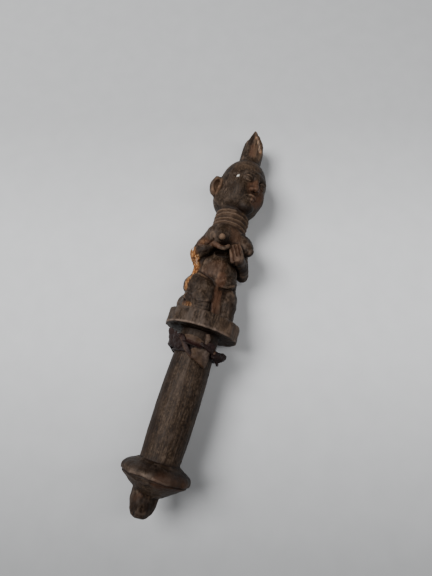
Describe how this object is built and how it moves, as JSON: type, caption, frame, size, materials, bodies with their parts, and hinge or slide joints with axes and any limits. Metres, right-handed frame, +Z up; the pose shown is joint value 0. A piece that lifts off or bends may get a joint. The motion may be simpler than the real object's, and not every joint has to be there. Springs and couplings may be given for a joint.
{
  "type": "dance staff",
  "caption": "Carved wooden dance staff, lying down: a turned grip with pommel, a faceted platform, a kneeling woman with a broken crest, and a leather thong knotted round the grip.",
  "frame": {"origin": "centre of the bounding box's base, on the ground under the staff as it lies at rest", "axes": "+X along the staff towards the figure's crest, +Z up, +Y towards the side that the figure's right arm is on"},
  "size_m": [0.316, 0.0582, 0.0551],
  "materials": {
    "dark_wood": "hand-worn dark patina, raw orange wood at the breaks",
    "dark_leather": "dry, slightly glossy"
  },
  "bodies": {
    "root": {"staff": "dark_wood", "leather_thong": "dark_leather"}
  },
  "joints": []
}
